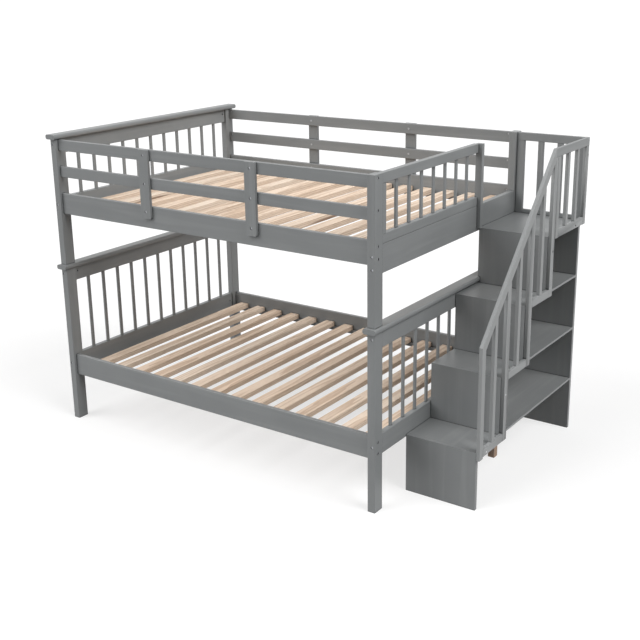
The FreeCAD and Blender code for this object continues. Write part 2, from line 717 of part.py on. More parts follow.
STEP_NAMES = ("first", "second", "third", "fourth")
for number, name in enumerate(STEP_NAMES):
    bottom = "0" if number == 0 else step_top(number - 1)
    height = f"({step_top(number)} - {bottom})"
    riser = board(f"{name}_riser", ("bed_length", step_front(number), bottom),
                  ("stair_width", "panel_thickness", height), "z", edge="panel_edge")
    last = number == len(STEP_NAMES) - 1
    nodes.append(notch_for_cap(riser, step_front(number)) if last else riser)
    back = PLATFORM_BACK if last else BACK_PANEL_FRONT
    front = f"({step_front(number)} + panel_thickness)"
    corner = ("bed_length", front, f"({step_top(number)} - tread_thickness)")
    nodes.append(board("platform" if last else f"{name}_tread", corner,
                       ("stair_width", f"({back} - {front})", "tread_thickness"), "x", edge="panel_edge"))

back_panel = board("stair_back_panel", ("bed_length", BACK_PANEL_FRONT, "0"),
                   ("stair_width", "panel_thickness", f"({PLATFORM_TOP} - tread_thickness)"), "z",
                   edge="panel_edge")
nodes.append(notch_for_cap(back_panel, BACK_PANEL_FRONT))
nodes.append(board("stair_middle_leg",
                   ("(bed_length + (stair_width - leg_width) / 2)",
                    f"({STAIR_START} + leg_distance - leg_depth / 2)", "0"),
                   ("leg_width", "leg_depth", "(first_step_height - tread_thickness)"), "z",
                   edge="slat_edge"))

# ---------------------------------------------------------------------------------------------
# Railing along the open side of the stairs
# ---------------------------------------------------------------------------------------------


def sloped_handrail():
    """The handrail that climbs with the steps, plumb at both ends."""
    body = doc.addObject("PartDesign::Body", "sloped_handrail")
    place(body, STAIR_FACE, "0", "0")
    plane = next(feature for feature in body.Origin.OriginFeatures if feature.Role == "YZ_Plane")
    sketch = body.newObject("Sketcher::SketchObject", "HandrailOutline")
    sketch.AttachmentSupport = [(plane, "")]
    sketch.MapMode = "FlatFace"
    outline = [
        (STAIR_START, f"(handrail_foot_height - {HANDRAIL_FALL})"),
        (HANDRAIL_END, f"({POST_TOP} - {HANDRAIL_FALL})"),
        (HANDRAIL_END, POST_TOP),
        (STAIR_START, "handrail_foot_height"),
    ]
    corners = [FreeCAD.Vector(value(y), value(z), 0) for y, z in outline]
    for i, start in enumerate(corners):
        sketch.addGeometry(Part.LineSegment(start, corners[(i + 1) % len(corners)]))
    for i in range(len(corners)):
        sketch.addConstraint(Sketcher.Constraint("Coincident", i, 2, (i + 1) % len(corners), 1))
    for i, (y, z) in enumerate(outline):
        across = sketch.addConstraint(Sketcher.Constraint("DistanceX", -1, 1, i, 1, corners[i].x))
        up = sketch.addConstraint(Sketcher.Constraint("DistanceY", -1, 1, i, 1, corners[i].y))
        sketch.setExpression(f"Constraints[{across}]", sized(y))
        sketch.setExpression(f"Constraints[{up}]", sized(z))
    pad = body.newObject("PartDesign::Pad", "Handrail")
    pad.Profile = sketch
    bind(pad, Length="railing_thickness")
    return body


def handrail_under(y):
    """How high the underside of the sloped handrail is at y."""
    return f"(handrail_foot_height - {HANDRAIL_FALL} + {HANDRAIL_SLOPE} * ({y} - {STAIR_START}))"


def railing_board(label, y, width, bottom, top, along="z"):
    """A board of the stair railing, flat against the open side of the stairs."""
    size = ("railing_thickness", width, f"({top} - {bottom})")
    return board(label, (STAIR_FACE, y, bottom), size, along, edge="slat_edge")


def under_handrail(label, y, width, bottom, top=None):
    """An upright of the stair railing whose top is cut to the slope of the handrail."""
    inside = f"({handrail_under(f'({y} + {width} / 2)')} + {HANDRAIL_FALL} / 2)"
    upright = railing_board(f"{label}_blank", y, width, bottom, top or inside)
    fitted = doc.addObject("Part::Cut", label)
    fitted.Base = upright
    fitted.Tool = handrail
    return fitted


def bay_rail_bottom(number):
    """How high the bottom rail beside a step starts, counted from 0."""
    return f"({step_top(number)} - {'first_bay_rail_drop' if number == 0 else 'bay_rail_drop'})"


handrail = sloped_handrail()
nodes.append(handrail)
nodes.append(under_handrail("stair_newel", STAIR_START, "newel_width",
                            "(first_step_height - newel_drop)"))

stiles = []
balusters = []
bottom_rails = []
bay_start = f"({STAIR_START} + newel_width)"
for number, name in enumerate(STEP_NAMES[:3]):
    rail_bottom = bay_rail_bottom(number)
    stile_y = f"({step_front(number + 1)} + stile_offset)"
    top = LEVEL_RAIL_BOTTOM if number == 2 else None
    stiles.append(under_handrail(f"{name}_stile", stile_y, "stile_width", rail_bottom, top))
    rail_top = f"({rail_bottom} + bay_rail_height)"
    bottom_rails.append(railing_board(f"{name}_bay_rail", bay_start, f"({stile_y} - {bay_start})",
                                      rail_bottom, rail_top, along="y"))
    bar_y = f"(({bay_start} + {stile_y} - stair_baluster_width) / 2)"
    balusters.append(under_handrail(f"{name}_bay_baluster", bar_y, "stair_baluster_width", rail_top))
    bay_start = f"({stile_y} + stile_width)"

GUARD_START = f"({bay_start} + platform_stile_width)"
GUARD_END = f"({PLATFORM_BACK} - platform_end_stile_width)"
GUARD_BOTTOM = bay_rail_bottom(3)
GUARD_RAIL_TOP = f"({GUARD_BOTTOM} + bay_rail_height)"
GUARD_GAP = f"(({GUARD_END} - {GUARD_START} - 2 * platform_baluster_width) / 3)"
stiles.append(railing_board("platform_front_stile", bay_start, "platform_stile_width",
                            GUARD_BOTTOM, LEVEL_RAIL_BOTTOM))
stiles.append(railing_board("platform_back_stile", GUARD_END, "platform_end_stile_width",
                            GUARD_BOTTOM, LEVEL_RAIL_BOTTOM))
bottom_rails.append(railing_board("platform_bay_rail", GUARD_START, f"({GUARD_END} - {GUARD_START})",
                                  GUARD_BOTTOM, GUARD_RAIL_TOP, along="y"))
for i in (1, 2):
    bar_y = f"({GUARD_START} + {i} * {GUARD_GAP} + {i - 1} * platform_baluster_width)"
    balusters.append(railing_board(f"platform_baluster_{i}", bar_y, "platform_baluster_width",
                                   GUARD_RAIL_TOP, LEVEL_RAIL_BOTTOM))
nodes.append(railing_board("level_handrail", HANDRAIL_END, f"({PLATFORM_BACK} - {HANDRAIL_END})",
                           LEVEL_RAIL_BOTTOM, POST_TOP, along="y"))
nodes.append(group("stair_railing_stiles", stiles))
nodes.append(group("stair_railing_balusters", balusters))
nodes.append(group("stair_railing_bottom_rails", bottom_rails))

# ---------------------------------------------------------------------------------------------
# Railing along the back of the platform
# ---------------------------------------------------------------------------------------------

BACK_RAILING_Y = f"({PLATFORM_BACK} - railing_thickness)"
BACK_LOW_TOP = f"({PLATFORM_TOP} + back_low_rail_height)"
BACK_BARS_START = "(bed_length + back_stile_width)"
BACK_BARS_SPAN = "(stair_width - 2 * back_stile_width)"
BACK_GAP = f"(({BACK_BARS_SPAN} - 2 * back_baluster_width) / 3)"


def back_board(label, x, width, bottom, top, along="z"):
    """A board of the railing that stands on the back edge of the platform."""
    size = (width, "railing_thickness", f"({top} - {bottom})")
    return board(label, (x, BACK_RAILING_Y, bottom), size, along, edge="slat_edge")


nodes.append(group("back_railing_rails", [
    back_board("back_bottom_rail", BACK_BARS_START, BACK_BARS_SPAN, PLATFORM_TOP, BACK_LOW_TOP, "x"),
    back_board("back_top_rail", "bed_length", "stair_width", LEVEL_RAIL_BOTTOM, POST_TOP, "x")]))
uprights = [
    back_board("back_stile_1", "bed_length", "back_stile_width", PLATFORM_TOP, LEVEL_RAIL_BOTTOM),
    back_board("back_stile_2", f"({STAIR_FACE} - back_stile_width)", "back_stile_width",
               PLATFORM_TOP, LEVEL_RAIL_BOTTOM)]
for i in (1, 2):
    bar_x = f"({BACK_BARS_START} + {i} * {BACK_GAP} + {i - 1} * back_baluster_width)"
    uprights.append(back_board(f"back_baluster_{i}", bar_x, "back_baluster_width",
                               BACK_LOW_TOP, LEVEL_RAIL_BOTTOM))
nodes.append(group("back_railing_uprights", uprights))

# ---------------------------------------------------------------------------------------------
# Fasteners
# ---------------------------------------------------------------------------------------------

bolts = [joint.bolt(f"frame_bolt_{i + 1}") for i, joint in enumerate(ALL_JOINTS)]
bolts += [joint.bolt(f"guard_board_bolt_{i + 1}") for i, joint in enumerate(all_sleeves)]
nodes.append(group("bolts", bolts))
nodes.append(group("barrel_nuts", [joint.nut(f"barrel_nut_{i + 1}")
                                   for i, joint in enumerate(ALL_JOINTS)]))
nodes.append(group("sleeve_nuts", [joint.sleeve(f"sleeve_nut_{i + 1}")
                                   for i, joint in enumerate(all_sleeves)]))

# ---------------------------------------------------------------------------------------------
# Checks and files
# ---------------------------------------------------------------------------------------------

doc.recompute()
for feature in doc.Objects:
    if "Invalid" in feature.State or "Error" in feature.State:
        raise RuntimeError(f"{feature.Label} could not be built: {feature.State}")
for node in nodes:
    if node.Shape.isNull() or not node.Shape.isValid() or not node.Shape.Solids:
        raise RuntimeError(f"{node.Label} has no sound solid")

os.makedirs("parts", exist_ok=True)
for node in nodes:
    node.Shape.exportStep(f"parts/{node.Label}.step")
    print(f"{node.Label}: {len(node.Shape.Solids)} solid(s), {node.Shape.Volume / 1000:.0f} cm3")
box = Part.makeCompound([node.Shape for node in nodes]).BoundBox
print(f"{len(nodes)} nodes, {box.XLength:.1f} x {box.YLength:.1f} x {box.ZLength:.1f} mm,"
      f" x {box.XMin:.1f} to {box.XMax:.1f}, y {box.YMin:.1f} to {box.YMax:.1f}")
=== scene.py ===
# %% [markdown]
# # A bunk bed with storage stairs
#
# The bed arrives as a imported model: posts, rails, boards, slats and their
# hardware, each at its real size and place. This lesson gives it what a
# drawing of the joinery can't: the satin grey paint, the bare pine of the
# slats, the zinc of the bolts, the screws that the joiner drives last, and
# the plain studio that it is photographed in.

# %% Bring in the bed
import math

import bpy
from mathutils import Matrix, Vector


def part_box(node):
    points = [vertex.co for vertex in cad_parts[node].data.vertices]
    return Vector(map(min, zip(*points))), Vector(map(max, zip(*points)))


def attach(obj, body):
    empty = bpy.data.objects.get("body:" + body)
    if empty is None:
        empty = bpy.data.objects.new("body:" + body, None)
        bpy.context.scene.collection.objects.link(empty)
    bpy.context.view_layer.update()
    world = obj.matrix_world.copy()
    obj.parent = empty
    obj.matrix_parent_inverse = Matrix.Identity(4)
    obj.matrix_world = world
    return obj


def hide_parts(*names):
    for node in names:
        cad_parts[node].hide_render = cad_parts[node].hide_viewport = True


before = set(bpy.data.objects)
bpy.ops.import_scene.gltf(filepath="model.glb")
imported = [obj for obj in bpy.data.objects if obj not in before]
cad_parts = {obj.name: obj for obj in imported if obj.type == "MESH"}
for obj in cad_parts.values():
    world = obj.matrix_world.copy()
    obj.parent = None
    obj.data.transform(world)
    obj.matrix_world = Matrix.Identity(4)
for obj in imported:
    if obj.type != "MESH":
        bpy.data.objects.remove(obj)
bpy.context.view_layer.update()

# %% [markdown]
# ## The camera
#
# The picture was taken from beyond the foot of the bed, on the stairs'
# side, from a little above head height. A camera could be aimed by eye, but
# here it is written out as a place, three angles and a lens, so that the
# posts lean in the picture as they lean in the real one. The small shift
# stands for a picture that was cropped a little off its middle.

# %% Set up the camera
FRAME_PIXELS = 640
LENS_PIXELS = 1046.03
MIDDLE_PIXEL = (315.34, 285.06)
EYE = Vector((3.1002, -4.3577, 2.3880))
HEADING = math.radians(-35.544)
TILT_DOWN = math.radians(16.727)
LEAN = math.radians(-0.9625)

level_gaze = Vector((math.sin(HEADING), math.cos(HEADING), 0))
gaze = math.cos(TILT_DOWN) * level_gaze - math.sin(TILT_DOWN) * Vector((0, 0, 1))
level_right = gaze.cross(Vector((0, 0, 1))).normalized()
level_up = level_right.cross(gaze)
right = math.cos(LEAN) * level_right + math.sin(LEAN) * level_up
up = math.cos(LEAN) * level_up - math.sin(LEAN) * level_right

camera_data = bpy.data.cameras.new("studio_camera")
camera_data.sensor_width = 36.0
camera_data.lens = camera_data.sensor_width * LENS_PIXELS / FRAME_PIXELS
camera_data.shift_x = (FRAME_PIXELS / 2 - MIDDLE_PIXEL[0]) / FRAME_PIXELS
camera_data.shift_y = (MIDDLE_PIXEL[1] - FRAME_PIXELS / 2) / FRAME_PIXELS
camera_data.clip_end = 400.0
camera = bpy.data.objects.new("studio_camera", camera_data)
camera.matrix_world = Matrix.Translation(EYE) @ Matrix((right, up, -gaze)).transposed().to_4x4()
bpy.context.collection.objects.link(camera)
bpy.context.scene.camera = camera
print("The lens is", round(camera_data.lens, 2), "mm")

# %% [markdown]
# ## Writing a finish
#
# A finish is a set of nodes that are wired together. Placing them by hand
# is slow and hard to read back, so small classes are used instead. Value
# stands for something that changes over the surface, and arithmetic on it
# adds the Math nodes. Wiring has the one method that adds any other node,
# and Finish is the wiring of one material.

# %% Values and finishes
class Value:
    """Something that changes over a surface, such as how dark the grain is."""

    def __init__(self, wiring, socket):
        self.wiring = wiring
        self.socket = socket

    def maths(self, operation, *values, clamp=False):
        settings = {"operation": operation, "use_clamp": clamp}
        return self.wiring.node("ShaderNodeMath", settings, dict(enumerate((self, *values))))

    def __add__(self, other):
        return self.maths("ADD", other)

    def __sub__(self, other):
        return self.maths("SUBTRACT", other)

    def __rsub__(self, other):
        return self.wiring.node("ShaderNodeMath", {"operation": "SUBTRACT"}, {0: other, 1: self})

    def __mul__(self, other):
        return self.maths("MULTIPLY", other)

    def __truediv__(self, other):
        return self.maths("DIVIDE", other)

    def __pow__(self, other):
        return self.maths("POWER", other)

    __radd__ = __add__

    def clamped(self):
        return self.maths("ADD", 0.0, clamp=True)

    def rise(self, start, end):
        """0 up to start, 1 from end on, and a smooth rise between them."""
        settings = {"interpolation_type": "SMOOTHSTEP"}
        sockets = {"Value": self, "From Min": start, "From Max": end}
        return self.wiring.node("ShaderNodeMapRange", settings, sockets)


class Wiring:
    """The nodes of a material or of the room, and the method that adds to them."""

    def __init__(self, tree):
        self.tree = tree
        self.tree.nodes.clear()

    def node(self, kind, settings=None, sockets=None, output=0):
        node = self.tree.nodes.new(kind)
        for setting, value in (settings or {}).items():
            setattr(node, setting, value)
        for socket, value in (sockets or {}).items():
            if isinstance(value, Value):
                self.tree.links.new(value.socket, node.inputs[socket])
            else:
                node.inputs[socket].default_value = value
        return Value(self, node.outputs[output] if node.outputs else None)

    def seen(self):
        """1 where the camera looks, a mirror looks or glass looks, and 0 for spread light."""
        rays = [self.node("ShaderNodeLightPath", output=f"Is {kind} Ray")
                for kind in ("Camera", "Glossy", "Transmission")]
        return (rays[0] + rays[1] + rays[2]).clamped()


class Finish(Wiring):
    """One material."""

    def __init__(self, name):
        self.material = bpy.data.materials.new(name)
        self.material.use_nodes = True
        super().__init__(self.material.node_tree)

    def place(self, stretch=(1, 1, 1), turn=(0, 0, 0)):
        """Where a point lies on the bed, in metres, stretched or turned for a pattern."""
        spot = self.node("ShaderNodeTexCoord", output="Object")
        if turn != (0, 0, 0):
            spot = self.node("ShaderNodeMapping", None, {"Vector": spot, "Rotation": turn})
        return self.node("ShaderNodeMapping", None, {"Vector": spot, "Scale": stretch})

    def noise(self, at, scale, detail=2.0, roughness=0.5, distortion=0.0):
        sockets = {"Vector": at, "Scale": scale, "Detail": detail, "Roughness": roughness,
                   "Distortion": distortion}
        return self.node("ShaderNodeTexNoise", None, sockets)

    def blend(self, amount, first, second):
        """Two colours mixed by an amount from 0 to 1."""
        sockets = {0: amount, 6: first, 7: second}
        return self.node("ShaderNodeMix", {"data_type": "RGBA"}, sockets, output=2)

    def bumped(self, height, depth, strength=1.0, over=None):
        """A fine relief, laid over the surface's own normal or over another."""
        sockets = {"Height": height, "Distance": depth, "Strength": strength}
        if over:
            sockets["Normal"] = over
        return self.node("ShaderNodeBump", None, sockets)

    def paint_with(self, **sockets):
        """Ends the finish in one shader, whose sockets are given by name."""
        named = {name.replace("_", " "): value for name, value in sockets.items()}
        shader = self.node("ShaderNodeBsdfPrincipled", None, named)
        self.node("ShaderNodeOutputMaterial", None, {"Surface": shader})
        return self.material


def grey(level):
    """A grey of one level, as a colour."""
    return (level, level, level, 1.0)


print("Values and finishes are ready")

# %% [markdown]
# ## Satin grey paint
#
# The bed is solid pine under two coats of sprayed satin paint. The paint
# hides the colour of the wood but not all of its grain: long faint ridges
# run along each board. Over them lies the fine pebbling that a spray gun
# leaves. The edges are painted a touch paler in patches: partly wear, where
# hands and bedding rub an edge and the coat is thinner, and partly a painted
# highlight of the edge's rounding. Where two boards meet, a fine dark line of
# painted shade is laid into the coat, with a little dust in it. An Ambient
# Occlusion node with a reach of a few millimetres finds those places,
# because only there does another board stand so near. Because the ridges
# follow the board, one finish is made for each way that a board can lie.
# The boards of the stair railing get a paler copy of the paint, painted
# light for the stronger light that falls on them.

# %% Mix the paint
PAINT_COLOUR = (0.262, 0.271, 0.273, 1.0)
PAINT_PALE = (0.335, 0.344, 0.345, 1.0)
PAINT_DEEP = (0.231, 0.240, 0.243, 1.0)
JOINT_SHADE_COLOUR = (0.060, 0.061, 0.062, 1.0)
JOINT_SHADE_REACH = 0.007
RIDGES_PER_METRE = 210.0
FIGURE_PER_METRE = 26.0
PEBBLES_PER_METRE = 900.0
SCUFFS_PER_METRE = 60.0
CLOUDS_PER_METRE = 3.5
EDGE_ROUNDING = 0.0025
PAINT_RELIEF = 0.0004
STRETCH_ALONG = {"x": (0.05, 1, 1), "y": (1, 0.05, 1), "z": (1, 1, 0.05)}


def satin_paint(name, along, lit_share=0.0):
    """Paint for boards that lie along one axis, leaning to the pale tone by a share from 0 to 1 as painted
    light.
    """
    paint = Finish(name)
    board = paint.place(STRETCH_ALONG[along])
    ridges = paint.noise(board, RIDGES_PER_METRE, detail=3.0, roughness=0.6)
    figure = paint.noise(board, FIGURE_PER_METRE, detail=2.0, distortion=0.4)
    spot = paint.place()
    pebbles = paint.noise(spot, PEBBLES_PER_METRE, detail=1.0)
    clouds = paint.noise(spot, CLOUDS_PER_METRE, detail=3.0)
    scuffs = paint.noise(spot, SCUFFS_PER_METRE, detail=3.0, roughness=0.7)

    rounded = paint.node("ShaderNodeBevel", {"samples": 6}, {"Radius": EDGE_ROUNDING})
    flat = paint.node("ShaderNodeNewGeometry", output="Normal")
    facing = paint.node("ShaderNodeVectorMath", {"operation": "DOT_PRODUCT"}, {0: rounded, 1: flat},
                        output=1)
    # Paler patches on the edges: partly wear, partly a painted highlight of the edge's rounding.
    wear_and_highlight = (1.0 - facing).rise(0.01, 0.14) * scuffs.rise(0.35, 0.7)

    # Painted shade: darker where another board stands within a few millimetres, with a little dust.
    openness = paint.node("ShaderNodeAmbientOcclusion", {"samples": 6}, {"Distance": JOINT_SHADE_REACH}, output=1)
    joint_shade = (1.0 - openness).rise(0.12, 0.50) * (0.7 + scuffs * 0.3)

    colour = paint.blend(clouds.rise(0.3, 0.7) * 0.6, PAINT_DEEP, PAINT_COLOUR)
    colour = paint.blend(figure.rise(0.45, 0.8) * 0.3, colour, PAINT_PALE)
    colour = paint.blend(wear_and_highlight * 0.55, colour, PAINT_PALE)
    # Painted light: the share moves the paint towards the pale tone for boards that catch more light.
    colour = paint.blend(lit_share, colour, PAINT_PALE)
    colour = paint.blend(joint_shade, colour, JOINT_SHADE_COLOUR)
    height = ridges * 0.6 + pebbles * 0.4
    return paint.paint_with(Base_Color=colour, Roughness=0.29 + clouds * 0.10 + ridges * 0.08,
                            Normal=paint.bumped(height, PAINT_RELIEF, 0.35),
                            Coat_Weight=0.02 + wear_and_highlight * 0.05,
                            Coat_Roughness=0.25, Specular_IOR_Level=0.28)


# The stair railing's paler paint is painted light, for the stronger light that falls on it.
RAILING_LIT_SHARE = 0.6
paint_along = {axis: satin_paint("satin_paint_" + axis, axis) for axis in "xyz"}
railing_lit_copies = {axis: satin_paint("railing_paint_" + axis, axis, RAILING_LIT_SHARE) for axis in "yz"}
print("Mixed the paint for boards along", ", ".join(paint_along))

# %% [markdown]
# ## Bare pine
#
# The slats are planed pine with no finish. Each is sawn from another plank,
# so each has its own tone and its own grain: pale early wood with thin
# brown lines of late wood, and here and there a knot that the lines flow
# round. The lines are slices through the tree's rings, so the pattern is
# made as rings round a heart that lies to one side of the board, and a
# random number for each board moves the heart.

# %% Saw the pine
PINE_PALE = (0.925, 0.785, 0.650, 1.0)
PINE_WARM = (0.890, 0.710, 0.560, 1.0)
PINE_LATE = (0.440, 0.265, 0.150, 1.0)
PINE_KNOT = (0.190, 0.095, 0.045, 1.0)
LEG_PALE = (0.400, 0.310, 0.255, 1.0)
LEG_WARM = (0.330, 0.245, 0.195, 1.0)
FIBRES_PER_METRE = 420.0
KNOTS_PER_METRE = 14.0
PINE_RELIEF = 0.0005


def bare_pine(name, along, across, pitch, first, pale=PINE_PALE, warm=PINE_WARM):
    """Pine boards that lie along one axis and follow each other at a pitch along another."""
    pine = Finish(name)
    spot = pine.place()
    parts = {axis: pine.node("ShaderNodeSeparateXYZ", None, {0: spot}, output=number)
             for number, axis in enumerate("XYZ")}
    number = ((parts[across] - first) / pitch).maths("FLOOR")
    chance = pine.node("ShaderNodeTexWhiteNoise", {"noise_dimensions": "1D"}, {"W": number})
    other_chance = pine.node("ShaderNodeTexWhiteNoise", {"noise_dimensions": "1D"}, {"W": number + 50.0})

    tallest = "Z" if along != "Z" else "X"
    length_shift = pine.node("ShaderNodeCombineXYZ", None, {along: chance * 7.0})
    board = pine.node("ShaderNodeVectorMath", {"operation": "ADD"}, {0: spot, 1: length_shift})
    stretch = STRETCH_ALONG[along.lower()]
    board = pine.node("ShaderNodeMapping", None, {"Vector": board, "Scale": stretch})
    sway = pine.noise(board, 18.0, detail=2.0)

    sideways = (parts[across] - first) / pitch - number - chance * 1.4 + 0.2
    deep = (parts[tallest] + 0.02 + other_chance * 0.03) * 12.0
    ring = (sideways * sideways + deep * deep) ** 0.5 * 9.0 + sway * 5.0
    line = ring.maths("FRACT").rise(0.35, 0.95)
    fibres = pine.noise(board, FIBRES_PER_METRE, detail=2.0, roughness=0.6)

    knot_gap = pine.node("ShaderNodeTexVoronoi", None, {"Vector": board, "Scale": KNOTS_PER_METRE})
    knot = 1.0 - knot_gap.rise(0.05, 0.13)

    colour = pine.blend(chance, pale, warm)
    colour = pine.blend(line * 0.45, colour, PINE_LATE)
    colour = pine.blend(fibres.rise(0.45, 0.75) * 0.30, colour, PINE_LATE)
    colour = pine.blend(knot * 0.75, colour, PINE_KNOT)
    height = fibres * 0.5 - line * 0.3
    return pine.paint_with(Base_Color=colour, Roughness=0.62 + fibres * 0.14 - line * 0.06,
                           Normal=pine.bumped(height, PINE_RELIEF, 0.4), Specular_IOR_Level=0.35)


slat_low, slat_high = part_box("lower_slats")
PLANK_PITCH = 0.136
HALF_GAP = 0.030
slat_pine = bare_pine("bare_pine_slats", "Y", "X", PLANK_PITCH, slat_low.x - HALF_GAP)
leg_low, leg_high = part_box("stair_middle_leg")
leg_width = leg_high.y - leg_low.y
leg_pine = bare_pine("bare_pine_leg", "Z", "Y", leg_width * 3, leg_low.y - leg_width,
                     LEG_PALE, LEG_WARM)
print("The slats span", round(slat_high.x - slat_low.x, 3), "metres along the bed")

# %% [markdown]
# ## Zinc on steel
#
# The bolts and nuts are steel with a thin coat of zinc. It is bright but
# not polished: a soft mirror, mottled grey where the coat lies thicker,
# with fine scratches from the wrench. A Bevel node rounds the shading at
# the rim of each head, as the tumbling drum rounds the real ones. The small
# screws carry a fresher, brighter coat than the bolts.

# %% Plate the steel
RIM_ROUNDING = 0.0007
MOTTLE_PER_METRE = 260.0
SCRATCHES_PER_METRE = 2200.0
SCRATCH_TURN = (0.4, 0.3, 0.8)
SCRATCH_RELIEF = 0.0001
OLD_DULL = (0.36, 0.37, 0.39, 1.0)
OLD_BRIGHT = (0.54, 0.55, 0.57, 1.0)
NEW_DULL = (0.66, 0.67, 0.68, 1.0)
NEW_BRIGHT = (0.82, 0.83, 0.84, 1.0)


def plated_steel(name, dull, bright):
    """Steel whose coat runs in patches from a dull to a bright tone."""
    steel = Finish(name)
    spot = steel.place()
    mottle = steel.noise(spot, MOTTLE_PER_METRE, detail=2.0)
    drawn_out = steel.place((1.0, 1.0, 0.04), SCRATCH_TURN)
    scratches = steel.noise(drawn_out, SCRATCHES_PER_METRE, detail=1.0)
    colour = steel.blend(mottle.rise(0.35, 0.65), dull, bright)
    rounded = steel.node("ShaderNodeBevel", {"samples": 6}, {"Radius": RIM_ROUNDING})
    bumped = steel.bumped(scratches, SCRATCH_RELIEF, 0.3, over=rounded)
    return steel.paint_with(Base_Color=colour, Metallic=1.0, Roughness=0.34 + mottle * 0.16,
                            Normal=bumped)


zinc = plated_steel("zinc_plated_steel", OLD_DULL, OLD_BRIGHT)
new_zinc = plated_steel("new_zinc_plated_steel", NEW_DULL, NEW_BRIGHT)
print("Plated the steel")

# %% [markdown]
# ## Dress the boards
#
# Every board takes the finish that follows its own length. The names of
# the pieces say which way they lie: posts and bars stand, end rails and
# treads run across the bed, side rails run along it. The stair railing takes
# a paler copy of the paint, painted light for the stronger light on it.

# %% Dress the boards
STANDING = ("post", "baluster", "stile", "guard_boards", "newel", "upright", "riser", "back_panel")
LENGTHWISE = ("side_rail", "middle_guard_rail", "top_guard_rail", "ledger", "back_railing_rails")
RAILING = ("stair_railing", "stair_newel", "sloped_handrail")


def finish_for(name):
    """The finish of a piece, chosen by the words in its name."""
    if "slats" in name:
        return slat_pine
    if name == "stair_middle_leg":
        return leg_pine
    if any(word in name for word in ("bolts", "nuts", "dowels")):
        return zinc
    # The railing takes the paler copy of the paint, which is painted light.
    if any(word in name for word in RAILING):
        return railing_lit_copies["z" if any(word in name for word in STANDING) else "y"]
    if any(word in name for word in STANDING):
        return paint_along["z"]
    if any(word in name for word in LENGTHWISE):
        return paint_along["x"]
    return paint_along["y"]


for name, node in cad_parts.items():
    finish = finish_for(name)
    node.data.materials.clear()
    node.data.materials.append(finish)
    low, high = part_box(name)
    print(name, finish.name, [round(v, 4) for v in low], [round(v, 4) for v in high])

# %% [markdown]
# ## Wood screws
#
# The joiner drives the last screws through the finished boards: through the
# stair railing into the stairs, and through each end of each slat into its
# ledger. The head is a flat cone with a cross in it. It starts as a cone.
# Its top is inset and raised twice, which gives it a rim and a shallow
# crown, and the cross is cut by a pair of crossed blades that narrow
# downwards. All screws are alike, so one is made here and copied later.

# %% Make one screw head
SCREW_RADIUS = 0.0048
SCREW_HEIGHT = 0.0030
SHANK_RADIUS = 0.0018
CROWN = 0.0003
CROSS_LENGTH = 0.0052
CROSS_WIDTH = 0.0011
CROSS_DEPTH = 0.0014
BLADE_TAPER = (0.45, 0.8, 1.0)
SMOOTH_BELOW = math.radians(35)


def pick_faces(piece, wanted):
    """Goes into edit mode with only the wanted faces selected."""
    bpy.context.tool_settings.mesh_select_mode = (False, False, True)
    bpy.ops.object.mode_set(mode="EDIT")
    bpy.ops.mesh.select_all(action="DESELECT")
    bpy.ops.object.mode_set(mode="OBJECT")
    for face in piece.data.polygons:
        face.select = wanted(face)
    bpy.ops.object.mode_set(mode="EDIT")


def take_up(piece):
    """Makes the piece the only one selected, and the active one."""
    bpy.ops.object.select_all(action="DESELECT")
    bpy.context.view_layer.objects.active = piece
    piece.select_set(True)


def cut_away(piece, cutter):
    """Takes the cutter's shape out of the piece and throws the cutter away."""
    take_up(piece)
    cut = piece.modifiers.new("cut", "BOOLEAN")
    cut.operation = "DIFFERENCE"
    cut.solver = "EXACT"
    cut.object = cutter
    bpy.ops.object.modifier_apply(modifier=cut.name)
    bpy.data.objects.remove(cutter)


bpy.ops.object.select_all(action="DESELECT")
bpy.ops.mesh.primitive_cone_add(vertices=18, radius1=SHANK_RADIUS, radius2=SCREW_RADIUS,
                                depth=SCREW_HEIGHT, location=(0, 0, -SCREW_HEIGHT / 2 - CROWN))
screw = bpy.context.object
screw.name = "screw_pattern"
bpy.ops.object.transform_apply(location=True, rotation=False, scale=False)
pick_faces(screw, lambda face: face.normal.z > 0.9)
bpy.ops.mesh.inset(thickness=SCREW_RADIUS * 0.12)
bpy.ops.transform.translate(value=(0, 0, CROWN * 0.7))
bpy.ops.mesh.inset(thickness=SCREW_RADIUS * 0.30)
bpy.ops.transform.translate(value=(0, 0, CROWN * 0.3))
bpy.ops.object.mode_set(mode="OBJECT")

bpy.ops.object.select_all(action="DESELECT")
bpy.ops.mesh.primitive_cube_add(size=1.0, location=(0, 0, 0))
blades = bpy.context.object
blades.scale = (CROSS_LENGTH, CROSS_WIDTH, 2 * CROSS_DEPTH)
bpy.ops.object.transform_apply(location=False, rotation=False, scale=True)
pick_faces(blades, lambda face: face.normal.z < -0.9)
bpy.ops.transform.resize(value=BLADE_TAPER)
bpy.ops.object.mode_set(mode="OBJECT")
bpy.ops.object.duplicate()
other_blade = bpy.context.object
other_blade.data.transform(Matrix.Rotation(math.radians(90), 4, "Z"))
cut_away(screw, blades)
cut_away(screw, other_blade)
bpy.ops.object.shade_smooth_by_angle(angle=SMOOTH_BELOW)
print("The screw head has", len(screw.data.polygons), "faces")

# %% [markdown]
# ## Screws in the slats
#
# One screw at each end of a slat is enough, because the ledgers carry the
# load. It goes through the middle of the slat's width, over the middle of
# the ledger. The places follow from the box of the slats and from their
# number, so no screw is placed by eye. The copies of one bunk are joined
# into one piece, as the slats are.

# %% Drive the slat screws
SLAT_WIDTH = 0.062
SLAT_COUNT = 14
SCREW_FROM_END = 0.009
UPRIGHT = Matrix.Identity(4)


